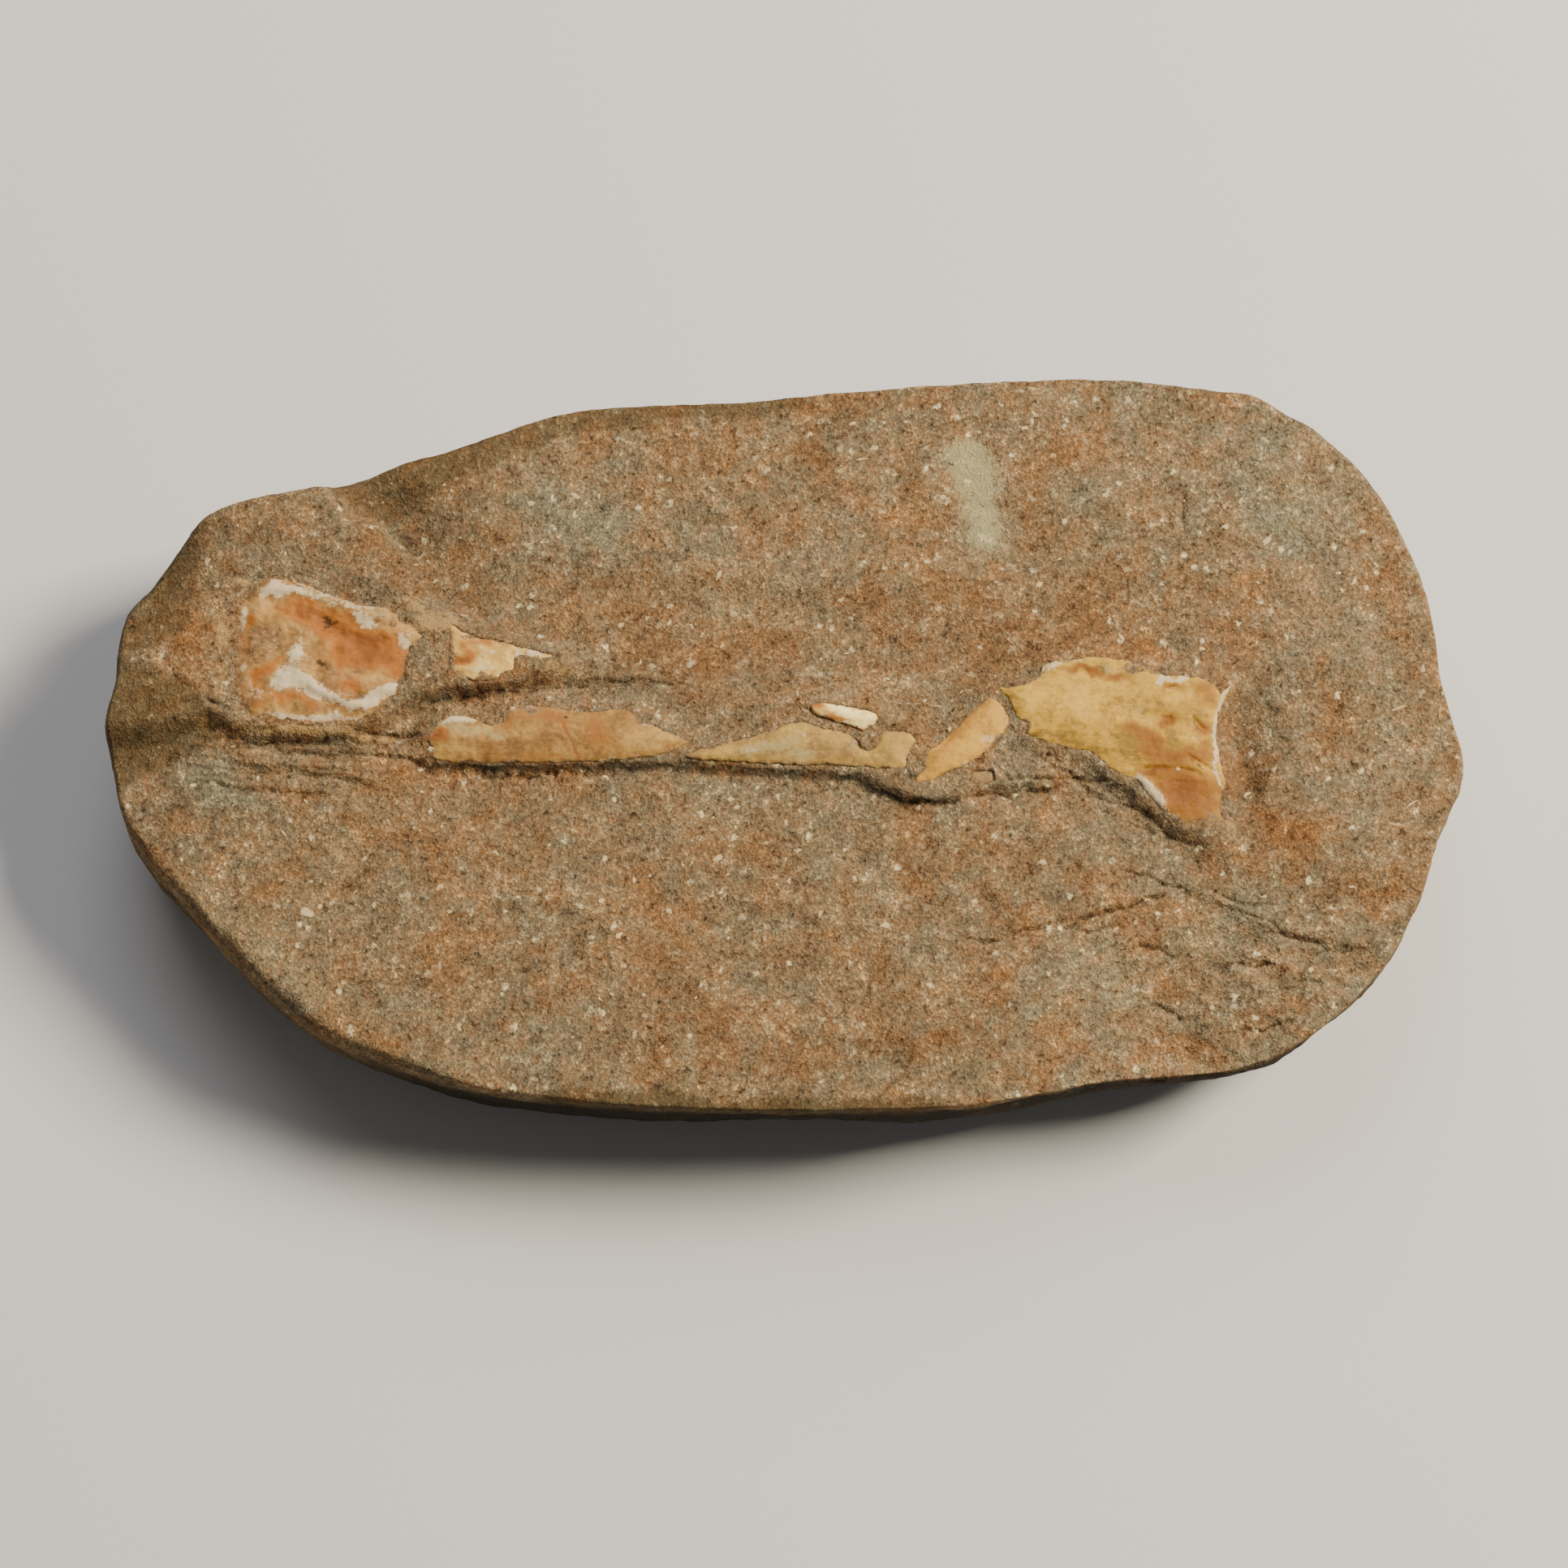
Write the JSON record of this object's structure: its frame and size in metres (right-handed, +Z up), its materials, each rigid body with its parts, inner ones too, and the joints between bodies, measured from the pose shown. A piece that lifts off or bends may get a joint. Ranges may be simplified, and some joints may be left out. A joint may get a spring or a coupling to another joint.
{
  "type": "fossil pterosaur bone",
  "caption": "Crushed fossil wing bone with a joint end and a flared end, lying in fragments on a rounded block of shelly sandstone.",
  "frame": {"origin": "on the table, under the middle of the block's outline", "axes": "+X along the bone, from its joint end towards its flared end; +Z up, out of the face that shows the bone"},
  "size_m": [0.1704, 0.0944, 0.0266],
  "materials": {
    "sandstone": "rough grey-brown shelly sandstone with rusty iron stains and small white shell flecks",
    "bone": "smooth ochre fossil bone with fine lengthwise grain",
    "bone_stained": "cream fossil bone with orange iron stains and chalky white breaks",
    "bone_pale": "chalky white fossil bone"
  },
  "bodies": {
    "root": {"matrix_block": "sandstone", "bone_joint_end": "bone_stained", "bone_upper_splint": "bone_stained", "bone_lower_shaft": "bone", "bone_middle_shaft": "bone", "bone_chip": "bone_pale", "bone_slanted_piece": "bone", "bone_small_splinter": "bone", "bone_flared_end": "bone_stained"}
  },
  "joints": []
}
